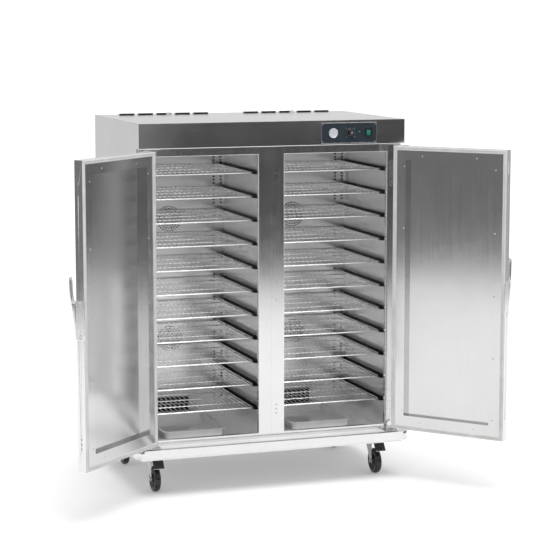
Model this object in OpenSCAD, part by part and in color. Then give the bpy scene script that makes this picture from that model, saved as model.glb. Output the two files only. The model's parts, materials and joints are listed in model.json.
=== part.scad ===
// Double-door heated holding cabinet on casters, for moving and keeping hot food.
// The origin is on the floor under the middle of the whole object with its doors open.
// Inside this file each piece is drawn from the cabinet's own datum: x = 0 on the seam between
// the two compartments, y = 0 on the front face of the control housing, z = 0 on the floor.

/* [Cabinet] */
// Overall width of the cabinet body
cabinet_w = 1335; // [1335:1:1400]
// Overall depth, from the front of the control housing to the back
cabinet_d = 856; // [840:1:900]
// Height of the flat top above the floor
cabinet_h = 1780; // [1775:1:1800]
// Height of the underside above the floor
underside_h = 180; // [180:1:182]
// Thickness of the folded sheet panels
sheet = 1; // [1:0.5:2]

/* [Front] */
// Height of the control housing across the top front
fascia_h = 117; // [110:1:117]
// How far the door frame stands behind the control housing
face_set = 51; // [51:1:54]
// Width of each door opening
opening_w = 533.5; // [528:0.5:536]
// Height of the lower edge of the openings
opening_low = 263; // [255:1:265]
// Height of the upper edge of the openings
opening_high = 1622; // [1600:1:1630]

/* [Compartments] */
// Distance from the seam to the middle of each compartment
bay_x = 331; // [329:1:333]
// Inside width of a compartment
bay_w = 586; // [580:1:590]
// Height of the compartment floor
bay_floor = 222; // [220:1:224]
// Height of the compartment ceiling
bay_ceiling = 1632; // [1630:1:1640]
// Distance of the perforated air duct behind the front
duct_y = 690; // [686:1:700]

/* [Shelves] */
// Shelves in each compartment
shelf_count = 11; // [11:1:11]
// Height from one shelf to the next
shelf_pitch = 115; // [113:1:116]
// Height of the top shelf
shelf_top = 1529; // [1528:1:1532]
// Width of a wire shelf
shelf_w = 518; // [510:1:519]
// Depth of a wire shelf
shelf_d = 572; // [560:1:574]
// Wires that run from front to back
shelf_wires = 21; // [15:2:25]

/* [Doors] */
// Width of a door leaf
door_w = 596; // [590:1:600]
// Height of the lower edge of a door
door_low = 259; // [255:1:262]
// Height of the upper edge of a door
door_high = 1653; // [1640:1:1653]
// Thickness of a door leaf without its gasket
door_t = 41; // [38:1:42]
// Angle that the left door stands open at rest
left_open = 137.5; // [0:0.5:200]
// Angle that the right door stands open at rest
right_open = 130.5; // [0:0.5:200]
// Distance of the door pivots from the seam
pivot_x = 621; // [620:1:622]

/* [Running gear] */
// Wheel diameter
wheel_d = 125; // [120:1:126]
// Wheel width
wheel_w = 32; // [28:1:34]
// Distance of the swivel pins from the seam
caster_x = 572; // [560:1:580]
// Distance of the front swivel pins behind the front
caster_front = 156; // [150:1:170]
// Distance of the rear swivel pins behind the front
caster_back = 747; // [730:1:750]
// How far a wheel trails its swivel pin
caster_trail = 38; // [35:1:40]
// How far the bumper stands out from the body
bumper_out = 30; // [25:1:35]
// Height of the bumper's face
bumper_h = 41; // [38:1:44]

/* [Hidden] */
datum_x = 26;                          // shift from the cabinet's datum to the origin
datum_y = -198;
half_w = cabinet_w / 2;
fascia_low = cabinet_h - fascia_h;
lid_t = 2;                             // thickness of the top panel
frame_d = 24;                          // depth of the door frame's returns
bay_front = face_set + frame_d;
plenum_d = 80;                         // air space behind the duct panel
bay_back = duct_y + plenum_d;
plinth_top = 237;
bumper_low = 194;
bumper_r = 36;
pivot_y = 1;
leaf_edge = 10;                        // gap from a pivot to the leaf's edge
gasket_t = 6.5;
gasket_w = 19;
dish_margin_s = 67;                    // rim around the pressed dish in a door's inner face
dish_margin_z = 70;
dish_depth = 29;
leaf_end = leaf_edge + door_w;
latch_z = 943;                         // middle of a latch body
latch_h = 176;
lever_pivot_z = 1018;
lever_pivot_d = -17;
lever_pin_r = 3;
panel_x0 = 236;                        // control panel on the fascia
panel_w = 282;
panel_z0 = 1671;
panel_h = 95;
dial_x = 295;
knob_x = 384;
lamp_x = 430;
rocker_x = 478;
rocker_y = 2;
rocker_tilt = 8;
rocker_pin_r = 2;
controls_z = 1719;
dial_r = 23;
knob_r = 19;
knob_pin_r = 3;
running_gap = 0.05;                    // radial clearance of a pin in its hole
wheel_z = wheel_d / 2;
leg_gap = wheel_w / 2 + 2.5;           // from a wheel's middle to the inside of a fork leg
leg_t = 3;
pedal_y = -32;
pedal_z = 148;
pedal_w = 52;
pedal_pin_r = 3;
king_r = 6;
axle_r = 5;
louvre_w = 80;
louvre_pitch = 97;
louvre_y = 770;
lid_seam_y = 700;                      // seam between the lid and the louvred rear strip
lid_seam_w = 1.2;
lid_seam_depth = 0.6;
fan_heights = [1258, 642];
slot_groups = 13;
slot_pitch = 100.4;
round_fn = 48;
eps = 0.01;

caster_names = ["front_left", "front_right", "back_left", "back_right"];
function shelf_names(side) = [for (i = [1 : shelf_count]) str("shelf_", side, "_", i)];
function shelf_z(i) = shelf_top - (i - 1) * shelf_pitch;

// ---- placing ----

module at_origin() translate([datum_x, datum_y, 0]) children();

module in_bay(side) translate([side * bay_x, 0, 0]) children();

// A door part is drawn with x along the leaf from its pivot and y from its outer face inward.
module on_left_door()
    translate([-pivot_x, pivot_y, 0]) rotate(-left_open) children();

module on_right_door()
    mirror([1, 0, 0]) translate([-pivot_x, pivot_y, 0]) rotate(-right_open) children();

module block(low, high) translate(low) cube(high - low);

module rod_x(r, length, fn = round_fn)
    rotate([0, 90, 0]) cylinder(r = r, h = length, $fn = fn);

module rod_y(r, length, fn = round_fn)
    rotate([-90, 0, 0]) cylinder(r = r, h = length, $fn = fn);

// ---- body ----

module outer_shell() color("gainsboro") {
    shell_top = cabinet_h - lid_t;
    difference() {
        block([-half_w, face_set, underside_h], [half_w, cabinet_d, shell_top]);
        block([-half_w + sheet, face_set - 1, underside_h + sheet],
              [half_w - sheet, cabinet_d - sheet, shell_top + 1]);
        inlet() cylinder(r = 14, h = 40, center = true, $fn = round_fn);
    }
    inlet_socket();
}

module inlet() translate([520, cabinet_d, 330]) rotate([-90, 0, 0]) children();

// Sealed cable gland on the back, without a cord
module inlet_socket() {
    inlet() translate([0, 0, -sheet]) difference() {
        union() {
            cylinder(r = 14, h = sheet + 12, $fn = round_fn);
            cylinder(r = 19, h = sheet + 4, $fn = 6);
        }
        translate([0, 0, sheet]) cylinder(r = 7, h = 20, $fn = round_fn);
    }
}

module top_panel() color("whitesmoke") {
    difference() {
        block([-half_w, 0, cabinet_h - lid_t], [half_w, cabinet_d, cabinet_h]);
        louvre_places() block([-louvre_w / 2 + 3, 0, -5], [louvre_w / 2 - 3, 12, 5]);
        block([-half_w - 1, lid_seam_y, cabinet_h - lid_seam_depth],
              [half_w + 1, lid_seam_y + lid_seam_w, cabinet_h + 1]);
    }
    louvre_places() louvre_hood();
    for (x = [-316, 346]) translate([x, 735, cabinet_h]) vent_ring();
}

module louvre_places()
    for (side = [-1, 1], i = [-2 : 2])
        translate([side * 329 + i * louvre_pitch, louvre_y, cabinet_h]) children();

// Pressed hood, open toward the front
module louvre_hood() {
    hood_h = 9;
    hood_d = 22;
    rotate([90, 0, 90]) translate([0, 0, -louvre_w / 2]) difference() {
        linear_extrude(louvre_w) polygon([[-2, 0], [-2, hood_h], [4, hood_h], [hood_d, 0]]);
        translate([0, 0, 2]) linear_extrude(louvre_w - 4)
            polygon([[-3, -1], [-3, hood_h - 1.5], [3.5, hood_h - 1.5], [hood_d - 4, -1]]);
    }
}

module vent_ring() difference() {
    union() {
        cylinder(r = 13, h = 5, $fn = round_fn);
        cylinder(r = 9, h = 12, $fn = round_fn);
    }
    translate([0, 0, 2]) cylinder(r = 5, h = 20, $fn = round_fn);
}

module insulation() color("khaki") difference() {
    block([-half_w + sheet, bay_front + 1, underside_h + sheet],
          [half_w - sheet, cabinet_d - sheet, 1690]);
    for (side = [-1, 1]) in_bay(side)
        block([-bay_w / 2 - sheet, 0, bay_floor - sheet],
              [bay_w / 2 + sheet, bay_back + sheet, bay_ceiling + sheet]);
    inlet() cylinder(r = 20, h = 60, center = true, $fn = round_fn);
}

module front_frame() color("silver") {
    low = underside_h + sheet;
    side_gap = half_w - sheet;
    difference() {
        block([-side_gap, face_set, low], [side_gap, bay_front, fascia_low]);
        block([-side_gap - 1, face_set + 2, low + 2], [side_gap + 1, bay_front + 1, fascia_low - 2]);
        frame_openings(0);
        block([-0.4, face_set - 1, low], [0.4, face_set + 0.8, fascia_low + 1]);
        frame_holes();
    }
    difference() {
        frame_openings(2);
        frame_openings(0);
        block([-half_w, 0, 0], [half_w, face_set + 1, cabinet_h]);
        block([-half_w, bay_front, 0], [half_w, cabinet_d, cabinet_h]);
    }
}

module frame_openings(grow)
    for (side = [-1, 1]) in_bay(side)
        block([-opening_w / 2 - grow, face_set - 2, opening_low - grow],
              [opening_w / 2 + grow, bay_front + 2, opening_high + grow]);

// Small holes for catches, beside the right-hand opening
module frame_holes() {
    catch_z = [1540, 1517, 1495, 1003, 916, 400, 378, 357];
    for (z = catch_z)
        translate([24, face_set - 1, z]) rod_y(2.6, 4, 24);
}

module chassis() color("silver") {
    // plinth under the doors
    difference() {
        block([-half_w, 0, underside_h], [half_w, face_set, plinth_top]);
        block([-half_w + 2, 2, underside_h + 2], [half_w - 2, face_set + 1, plinth_top - 2]);
    }
    for (x = [-caster_x, caster_x], y = [caster_front, caster_back])
        translate([x, y, underside_h]) caster_plate();
}

// Bolted plate with a fixed swivel pin
module caster_plate() {
    plate_x = 100;
    plate_y = 86;
    translate([-plate_x / 2, -plate_y / 2, -6]) cube([plate_x, plate_y, 6]);
    translate([0, 0, -12]) cylinder(r = 30, h = 6, $fn = round_fn);
    translate([0, 0, -26]) cylinder(r = king_r, h = 20, $fn = round_fn);
    translate([0, 0, -25]) cylinder(r = 10, h = 6, $fn = 6);
    for (x = [-40, 40], y = [-32, 32])
        translate([x, y, -10]) cylinder(r = 6, h = 4, $fn = 6);
}

module bumper() color("lightgrey") {
    depth = cabinet_d + bumper_out * 2;
    difference() {
        bumper_ring(0, bumper_low, bumper_low + bumper_h);
        bumper_ring(5, bumper_low + 5, bumper_low + bumper_h - 5);
        block([-half_w, 0, 0], [half_w, cabinet_d, cabinet_h]);
    }
    for (side = [-1, 1], y = [60, 330, 600])
        translate([side * (half_w + bumper_out), y, bumper_low + bumper_h / 2])
            rotate([0, side * 90, 0]) rivet();
    for (x = [-580, -330, -60, 60, 330, 580], back = [0, 1])
        translate([x, back * depth - bumper_out, bumper_low + bumper_h / 2])
            rotate([90 - back * 180, 0, 0]) rivet();
}

module rivet() translate([0, 0, -1]) cylinder(r = 4, h = 2.2, $fn = 24);

module bumper_ring(inset, low, high) {
    r = bumper_r - inset;
    w = half_w + bumper_out - inset - r;
    translate([0, 0, low]) linear_extrude(high - low)
        union() {
            translate([-w - r, -bumper_out + bumper_r])
                square([2 * (w + r), cabinet_d + 2 * bumper_out - 2 * bumper_r]);
            translate([-w, -bumper_out + inset])
                square([2 * w, cabinet_d + 2 * (bumper_out - inset)]);
            for (x = [-w, w], y = [bumper_r - bumper_out, cabinet_d + bumper_out - bumper_r])
                translate([x, y]) circle(r = r, $fn = round_fn);
        }
}

// ---- compartments ----

module liner(side) color("silver") in_bay(side) {
    w = bay_w / 2;
    difference() {
        block([-w - sheet, bay_front, bay_floor - sheet],
              [w + sheet, bay_back + sheet, bay_ceiling + sheet]);
        block([-w, bay_front - 1, bay_floor], [w, bay_back, bay_ceiling]);
    }
    // temperature probe and its clip on the right-hand wall
    translate([w - 14, 455, 1128]) {
        translate([0, -14, 0]) rod_y(4, 28, 24);
        translate([0, -3, -8]) cube([14 + eps, 6, 16]);
    }
    translate([w - 16, 258, 1126]) difference() {
        cube([16 + eps, 14, 22]);
        translate([-1, -1, 4]) cube([14, 16, 14]);
    }
}

module air_duct(side) color("silver") in_bay(side) {
    w = bay_w / 2;
    difference() {
        block([-w, duct_y, bay_floor], [w, duct_y + sheet, bay_ceiling]);
        for (z = fan_heights) translate([0, duct_y, z]) fan_holes();
        air_slots();
        intake_holes();
    }
    for (z = fan_heights, a = [45 : 90 : 315])
        translate([76 * cos(a), duct_y, z + 76 * sin(a)]) rotate([90, 0, 0])
            cylinder(r = 4.5, h = 2, $fn = 24);
}

// Rings of holes in front of a fan
module fan_holes()
    for (ring = [1 : 5], k = [0 : ring * 6 - 1]) {
        turn = 360 * k / (ring * 6);
        translate([ring * 12.4 * cos(turn), -1, ring * 12.4 * sin(turn)]) rod_y(4, 4, 16);
    }

module air_slots()
    for (g = [0 : slot_groups - 1], k = [-1 : 1], x = [-277, -239, 239, 277])
        translate([x - 5.5, duct_y - 1, 1549 - g * slot_pitch + k * 16.5 - 4]) cube([11, 4, 8]);

// Return air grille low in the middle
module intake_holes() {
    columns = 8;
    hole_w = 22;
    for (i = [0 : columns - 1], row = [0, 1])
        translate([(i - columns / 2) * 25 + 1.5, duct_y - 1, 262 + row * 38])
            cube([hole_w, 4, 35]);
}

// Channels that carry the shelves, with their mounting studs
module shelf_runners() color("silver")
    for (side = [-1, 1], i = [1 : shelf_count], hand = [-1, 1])
        in_bay(side) scale([hand, 1, 1]) translate([0, 0, shelf_z(i)]) runner();

module runner() {
    wall = bay_w / 2;
    y0 = 84;
    y1 = duct_y - 1;
    translate([0, y1, 0]) rotate([90, 0, 0]) linear_extrude(y1 - y0)
        polygon([[wall, -4.8], [252, -4.8], [252, -3.3], [wall - 1.5, -3.3],
                 [wall - 1.5, 12], [272, 12], [272, 13.5], [wall, 13.5]]);
    translate([wall - 12, y0 + 9, 22]) rod_x(6, 12, 24);
    translate([wall - 12, y0 + 7, 5]) cube([4, 4, 17]);
}

module wire_shelf(side, i) color("whitesmoke") in_bay(side) translate([0, 108, shelf_z(i)]) {
    rim = 6;
    bar = 5;
    wire = 3;
    w = shelf_w / 2;
    for (y = [0, shelf_d - rim]) translate([-w, y, -rim / 2]) cube([shelf_w, rim, rim]);
    for (x = [-w, w - rim]) translate([x, 0, -rim / 2]) cube([rim, shelf_d, rim]);
    for (k = [1 : 3])
        translate([-w + 1, k * shelf_d / 4 - bar / 2, -rim / 2]) cube([shelf_w - 2, bar, bar]);
    spacing = (shelf_w - rim) / (shelf_wires + 1);
    for (k = [1 : shelf_wires])
        translate([-w + rim / 2 + k * spacing - wire / 2, 1, 1]) cube([wire, shelf_d - 2, wire]);
}

module water_pan(side) color("gainsboro") in_bay(side) translate([0, 235, bay_floor + 0.4]) {
    pan_w = 325;
    pan_d = 420;
    pan_h = 35;
    lip = 12;
    difference() {
        union() {
            rounded_slab(pan_w, pan_d, 24, pan_h - 2, pan_h);
            rounded_slab(pan_w - 2 * lip, pan_d - 2 * lip, 18, 0, pan_h);
        }
        rounded_slab(pan_w - 2 * lip - 3, pan_d - 2 * lip - 3, 16.5, 1.5, pan_h + 1);
    }
}

// Slab with round corners, centred in x on a pan's middle and in y on 210
module rounded_slab(w, d, r, low, high)
    translate([0, 210, low]) linear_extrude(high - low) {
        square([w - 2 * r, d], center = true);
        square([w, d - 2 * r], center = true);
        for (x = [-1, 1], y = [-1, 1])
            translate([x * (w / 2 - r), y * (d / 2 - r)]) circle(r = r, $fn = round_fn);
    }

// ---- controls ----

module fascia() color("dimgray") {
    top = cabinet_h - lid_t;
    difference() {
        block([-half_w, 0, fascia_low], [half_w, face_set, top]);
        block([-half_w + sheet, sheet, fascia_low + sheet], [half_w - sheet, face_set + 1, top + 1]);
        // cut-out behind the control panel
        block([panel_x0 + 10, -1, panel_z0 + 10],
              [panel_x0 + panel_w - 10, sheet + 1, panel_z0 + panel_h - 10]);
    }
}

module control_panel() color("darkslategray") difference() {
    union() {
        block([panel_x0, -3, panel_z0], [panel_x0 + panel_w, 0, panel_z0 + panel_h]);
        // housing of the power switch
        block([rocker_x - 17, -5, controls_z - 21], [rocker_x + 17, 16, controls_z + 21]);
    }
    block([rocker_x - 11.5, -6, controls_z - 15.5], [rocker_x + 11.5, 12, controls_z + 15.5]);
    translate([rocker_x - 15, rocker_y, controls_z]) rod_x(rocker_pin_r + running_gap, 30, 24);
    translate([knob_x, -4, controls_z]) rod_y(knob_pin_r + running_gap, 8);
    translate([dial_x, -4, controls_z]) rod_y(dial_r - 4, 8);
    translate([lamp_x, -4, controls_z + 3]) rod_y(4, 8);
}

// Round thermometer and the lamp that shows the heat is on
module gauge_and_lamp() {
    color("white") translate([dial_x, 0, controls_z]) difference() {
        union() {
            translate([0, -8, 0]) rod_y(dial_r, 5);
            translate([0, -4, 0]) rod_y(dial_r - 4, 24);
        }
        translate([0, -9, 0]) rod_y(dial_r - 2.5, 3);
    }
    color("limegreen") translate([lamp_x, 0, controls_z + 3]) {
        translate([0, -5, 0]) rod_y(6, 2);
        translate([0, -7, 0]) rod_y(4, 13);
    }
}

module thermostat_knob() color("black") translate([knob_x, 0, controls_z]) {
    translate([0, -22, 0]) rod_y(knob_r - 3, 16);
    translate([0, -7, 0]) rod_y(knob_r, 3);
    translate([0, -22, 0]) rod_y(knob_pin_r, 28);
    translate([-3, -25, -knob_r + 4]) cube([6, 18, 2 * knob_r - 8]);
}

module power_rocker() color("green")
    translate([rocker_x, rocker_y, controls_z]) rotate([rocker_tilt, 0, 0]) {
        rotate([0, 90, 0]) translate([0, 0, -10]) linear_extrude(20)
            polygon([[-13, -6.5], [0, -4.5], [13, -6.5], [13, 2], [0, 6], [-13, 2]]);
        translate([-14.5, 0, 0]) rod_x(rocker_pin_r, 29, 24);
    }

// ---- doors ----

// Fixed brackets with the pivot pins, and perforated strips on the door frame
module pivot_brackets() color("whitesmoke") for (hand = [-1, 1]) scale([hand, 1, 1]) {
    bracket_t = 3;
    // top
    block([566, -11, 1657], [644, face_set, 1657 + bracket_t]);
    block([566, face_set - 2, 1625], [576, face_set, 1657 + bracket_t]);
    translate([pivot_x, pivot_y, 1651]) cylinder(r = 4, h = 8, $fn = round_fn);
    // bottom
    block([573, -11, plinth_top], [644, face_set, plinth_top + bracket_t]);
    translate([pivot_x, pivot_y, plinth_top]) cylinder(r = 4, h = 24, $fn = round_fn);
    translate([pivot_x, pivot_y, plinth_top]) cylinder(r = 9, h = 18.5, $fn = round_fn);
    for (z = [1450, 307]) perforated_strip(z);
}

module perforated_strip(z) {
    strip_h = 126;
    w = 18;
    translate([620, face_set, z + w / 2]) rotate([90, 0, 0]) linear_extrude(2) difference() {
        union() {
            translate([-w / 2, 0]) square([w, strip_h - w]);
            for (y = [0, strip_h - w]) translate([0, y]) circle(d = w, $fn = round_fn);
        }
        for (k = [0 : 5]) translate([0, k * (strip_h - w) / 5]) circle(d = 9, $fn = 24);
    }
}

// Folded outer pan of a door, with its two pivot straps
module door_skin() {
    strap_t = 3;
    difference() {
        union() {
            block([leaf_edge, 0, door_low], [leaf_end, door_t, door_high]);
            for (z = [door_low - strap_t, door_high])
                translate([0, 0, z]) pivot_strap(strap_t);
        }
        block([leaf_edge + sheet, sheet, door_low + sheet],
              [leaf_end - sheet, door_t + 1, door_high - sheet]);
        for (z = [door_low - strap_t - 1, door_high - 1])
            translate([0, 0, z]) cylinder(r = 4 + running_gap, h = strap_t + 2, $fn = round_fn);
        // fixing holes in the free edge
        for (z = [1541, 1521, 1500, 408, 388, 366])
            translate([leaf_end - sheet - 1, 19, z]) rod_x(2.6, sheet + 2, 24);
    }
}

module pivot_strap(t) linear_extrude(t) {
    circle(r = 10, $fn = round_fn);
    translate([0, -8]) square([70, 34]);
}

// Pressed inner liner of a door, with a shallow dish
module door_liner() {
    x0 = leaf_edge + sheet;
    x1 = leaf_end - sheet;
    z0 = door_low + sheet;
    z1 = door_high - sheet;
    dish_y = door_t - dish_depth;
    difference() {
        union() {
            block([x0, door_t - sheet, z0], [x1, door_t, z1]);
            dish(dish_y - sheet, sheet);
        }
        dish(dish_y, 0);
    }
}

// Solid of the dish, from depth y to the rim, grown sideways by a wall
module dish(y, grow) {
    x0 = leaf_edge + dish_margin_s - grow;
    x1 = leaf_end - dish_margin_s - 9 + grow;
    z0 = door_low + dish_margin_z - grow;
    z1 = door_high - dish_margin_z + 4 + grow;
    end = grow > 0 ? door_t : door_t + 1;
    block([x0, y, z0], [x1, end, z1]);
}

module gasket() {
    y0 = door_t;
    y1 = door_t + gasket_t;
    x0 = leaf_edge + 1;
    x1 = leaf_end - 1;
    z0 = door_low + 1;
    z1 = door_high - 1;
    difference() {
        block([x0, y0, z0], [x1, y1, z1]);
        block([x0 + gasket_w, y0 - 1, z0 + gasket_w], [x1 - gasket_w, y1 + 1, z1 - gasket_w]);
    }
}

// Cast body that wraps the free edge of a door
module latch_body() {
    z0 = latch_z - latch_h / 2;
    z1 = latch_z + latch_h / 2;
    difference() {
        union() {
            block([leaf_end - 34, -7, z0], [leaf_end + 3, 0, z1]);
            block([leaf_end, -7, z0], [leaf_end + 3, door_t + 3, z1]);
            block([leaf_end - 28, -26, z0 + 14], [leaf_end, -7, z1 - 28]);
            for (x = [leaf_end - 30, leaf_end - 6])
                block([x, -26, z1 - 26], [x + 6, -6, z1]);
            for (z = [z0 + 10, z0 + 60, z1 - 60, z1 - 10])
                translate([leaf_end + 2, 20, z]) rod_x(4.5, 3, 24);
        }
        translate([leaf_end - 40, lever_pivot_d, lever_pivot_z])
            rod_x(lever_pin_r + running_gap, 60);
    }
}

// Lever that swings out about a cross pin at the top of the latch body
module latch_lever() translate([leaf_end - 31, lever_pivot_d, lever_pivot_z]) {
    lever_h = 118;
    rod_x(lever_pin_r, 32);
    translate([8, 0, 0]) {
        rod_x(8, 16);
        rotate([90, 0, 90]) linear_extrude(16)
            polygon([[-8, 0], [6, 2], [4, 20], [-13, lever_h - 10], [-18, lever_h],
                     [-27, lever_h - 5], [-24, lever_h - 14]]);
    }
}

// ---- running gear ----

// Swivel fork with its axle; the wheel stands in front of the pin, and y grows to the back
module caster_fork(braked) color("silver") {
    leg_out = leg_gap + leg_t;
    plate_top = underside_h - 12.5;
    difference() {
        union() {
            translate([-leg_out, -34, plate_top - 6]) cube([2 * leg_out, 66, 6]);
            translate([0, 0, plate_top - 6]) cylinder(r = 31, h = 6, $fn = round_fn);
            for (side = [-1, 1])
                translate([side * (leg_gap + leg_t / 2) - leg_t / 2, 0, 0]) fork_leg(plate_top);
        }
        translate([0, 0, plate_top - 8]) cylinder(r = king_r + running_gap, h = 12, $fn = round_fn);
    }
    translate([-leg_out - 6, -caster_trail, wheel_z]) rod_x(axle_r, 2 * (leg_out + 6));
    for (side = [-1, 1]) {
        translate([side * (leg_out + 3) - 3, -caster_trail, wheel_z]) rod_x(9, 6, 6);
        if (braked)
            translate([side * (leg_out + 2) - 3, pedal_y, pedal_z]) rod_x(pedal_pin_r, 6, 24);
    }
}

module fork_leg(top) rotate([90, 0, 90]) linear_extrude(leg_t) {
    polygon([[-34, top], [32, top], [30, top - 22], [-caster_trail + 12, wheel_z],
             [-caster_trail - 12, wheel_z], [-42, top - 30]]);
    translate([-caster_trail, wheel_z]) circle(r = 13, $fn = round_fn);
}

// Foot lever of a brake, in front of the wheel
module brake_pedal() color("black") {
    arm_t = 3;
    for (side = [-1, 1])
        translate([side * (leg_gap + leg_t + 2.2) - arm_t / 2, 0, 0])
            rotate([90, 0, 90]) linear_extrude(arm_t) difference() {
                union() {
                    polygon([[pedal_y, pedal_z - 7], [-86, 160], [-90, 168], [-84, 172],
                             [pedal_y, pedal_z + 7]]);
                    translate([pedal_y, pedal_z]) circle(r = 7, $fn = 24);
                }
                translate([pedal_y, pedal_z]) circle(r = pedal_pin_r + running_gap, $fn = 24);
            }
    translate([-pedal_w / 2, 0, 0]) rotate([90, 0, 90]) linear_extrude(pedal_w)
        polygon([[-84, 172], [-88, 173], [-121, 128], [-118, 124], [-112, 127], [-84, 166]]);
}

module caster_wheel() color("black") translate([0, -caster_trail, wheel_z])
    rotate([0, 90, 0]) rotate_extrude($fn = 96) wheel_half();

module wheel_half() {
    r = wheel_d / 2;
    w = wheel_w / 2;
    bore = axle_r + running_gap;
    polygon([[bore, -w], [16, -w], [18, -w + 6], [r - 16, -w + 6], [r - 14, -w + 1],
             [r - 5, -w], [r - 1, -w + 4], [r, -w + 10], [r, w - 10], [r - 1, w - 4],
             [r - 5, w], [r - 14, w - 1], [r - 16, w - 6], [18, w - 6], [16, w], [bore, w]]);
}

caster_places = [[-caster_x, caster_front], [caster_x, caster_front],
                 [-caster_x, caster_back], [caster_x, caster_back]];

// ---- the nodes ----

at_origin() {
    outer_shell();
    top_panel();
    insulation();
    front_frame();
    chassis();
    bumper();
    liner(-1);  // liner_left
    liner(1);  // liner_right
    for (side = [-1, 1]) air_duct(side);  // air_ducts
    shelf_runners();
    water_pan(-1);  // water_pan_left
    water_pan(1);  // water_pan_right
    fascia();
    control_panel();
    gauge_and_lamp();
    thermostat_knob();
    power_rocker();
    pivot_brackets();
    color("silver") on_left_door() door_skin();  // door_left
    color("silver") on_right_door() door_skin();  // door_right
    color("gainsboro") on_left_door() door_liner();  // door_liner_left
    color("gainsboro") on_right_door() door_liner();  // door_liner_right
    color("lightgrey") on_left_door() gasket();  // gasket_left
    color("lightgrey") on_right_door() gasket();  // gasket_right
    color("whitesmoke") on_left_door() latch_body();  // latch_left
    color("whitesmoke") on_right_door() latch_body();  // latch_right
    color("whitesmoke") on_left_door() latch_lever();  // lever_left
    color("whitesmoke") on_right_door() latch_lever();  // lever_right
    for (k = [0 : 3]) translate(caster_places[k]) {
        caster_fork(k < 2);
        caster_wheel();
    }
    translate(caster_places[0]) brake_pedal();  // pedal_left
    translate(caster_places[1]) brake_pedal();  // pedal_right
    for (i = [1 : shelf_count]) {
        wire_shelf(-1, i);
        wire_shelf(1, i);
    }
}
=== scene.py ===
"""Looks of a double-door heated holding cabinet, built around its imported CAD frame.

Lengths are metres in the row frame. Door pieces are drawn with the leaf closed, as (s, d, z):
s runs along the leaf from its pivot, d inward from its outer face, z up.
"""
import json
import math

import bmesh
import bpy
from mathutils import Matrix, Vector


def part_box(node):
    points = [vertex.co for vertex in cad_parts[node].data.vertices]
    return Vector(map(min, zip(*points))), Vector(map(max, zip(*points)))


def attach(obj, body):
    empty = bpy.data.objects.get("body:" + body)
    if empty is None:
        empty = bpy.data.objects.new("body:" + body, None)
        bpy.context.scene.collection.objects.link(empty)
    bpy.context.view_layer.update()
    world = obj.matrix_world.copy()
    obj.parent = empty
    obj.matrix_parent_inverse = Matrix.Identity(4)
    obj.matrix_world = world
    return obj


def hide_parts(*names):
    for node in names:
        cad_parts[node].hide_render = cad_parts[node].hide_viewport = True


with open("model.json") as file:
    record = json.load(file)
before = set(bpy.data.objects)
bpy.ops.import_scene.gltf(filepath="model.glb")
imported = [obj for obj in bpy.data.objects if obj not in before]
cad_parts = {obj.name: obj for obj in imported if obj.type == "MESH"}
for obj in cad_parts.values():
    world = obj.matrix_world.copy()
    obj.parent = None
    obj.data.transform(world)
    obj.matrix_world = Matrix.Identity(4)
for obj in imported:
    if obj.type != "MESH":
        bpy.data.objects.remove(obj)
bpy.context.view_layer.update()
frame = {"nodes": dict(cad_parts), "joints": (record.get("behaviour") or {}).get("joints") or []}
joints = {j["name"]: j for j in frame["joints"]}
SIDES = ("left", "right")
MM = 0.001

# Sizes and places that the boxes of the CAD nodes don't give
FORK_LEG = 21.5 * MM                  # from a wheel's middle to the outside of a fork leg
LID_Z = 1780 * MM                     # the lid's flat top, under its louvre hoods
PANEL_STEP = 2 * MM                   # how far the switch housing stands out of the control panel
DIAL_RADIUS = 23 * MM
LAMP_X = 456 * MM
LAMP_Z = 1722 * MM
OPENING_HALF = 266.75 * MM            # half the width of a door opening
OPENING_LOW = 263 * MM
OPENING_HIGH = 1622 * MM
FAN_HEIGHTS = {"upper": 1258 * MM, "lower": 642 * MM}


# ---------------------------------------------------------------- camera

def make_camera():
    """The viewing angle of the picture: from the front left, a little above the lid."""
    data = bpy.data.cameras.new("camera")
    data.sensor_width = 36.0
    data.lens = 121.4
    camera = bpy.data.objects.new("camera", data)
    bpy.context.scene.collection.objects.link(camera)
    camera.location = (-2.854, -8.526, 2.272)
    camera.rotation_euler = (math.radians(82.07), 0.0, math.radians(-19.08))
    bpy.context.scene.camera = camera


# ---------------------------------------------------------------- materials

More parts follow.
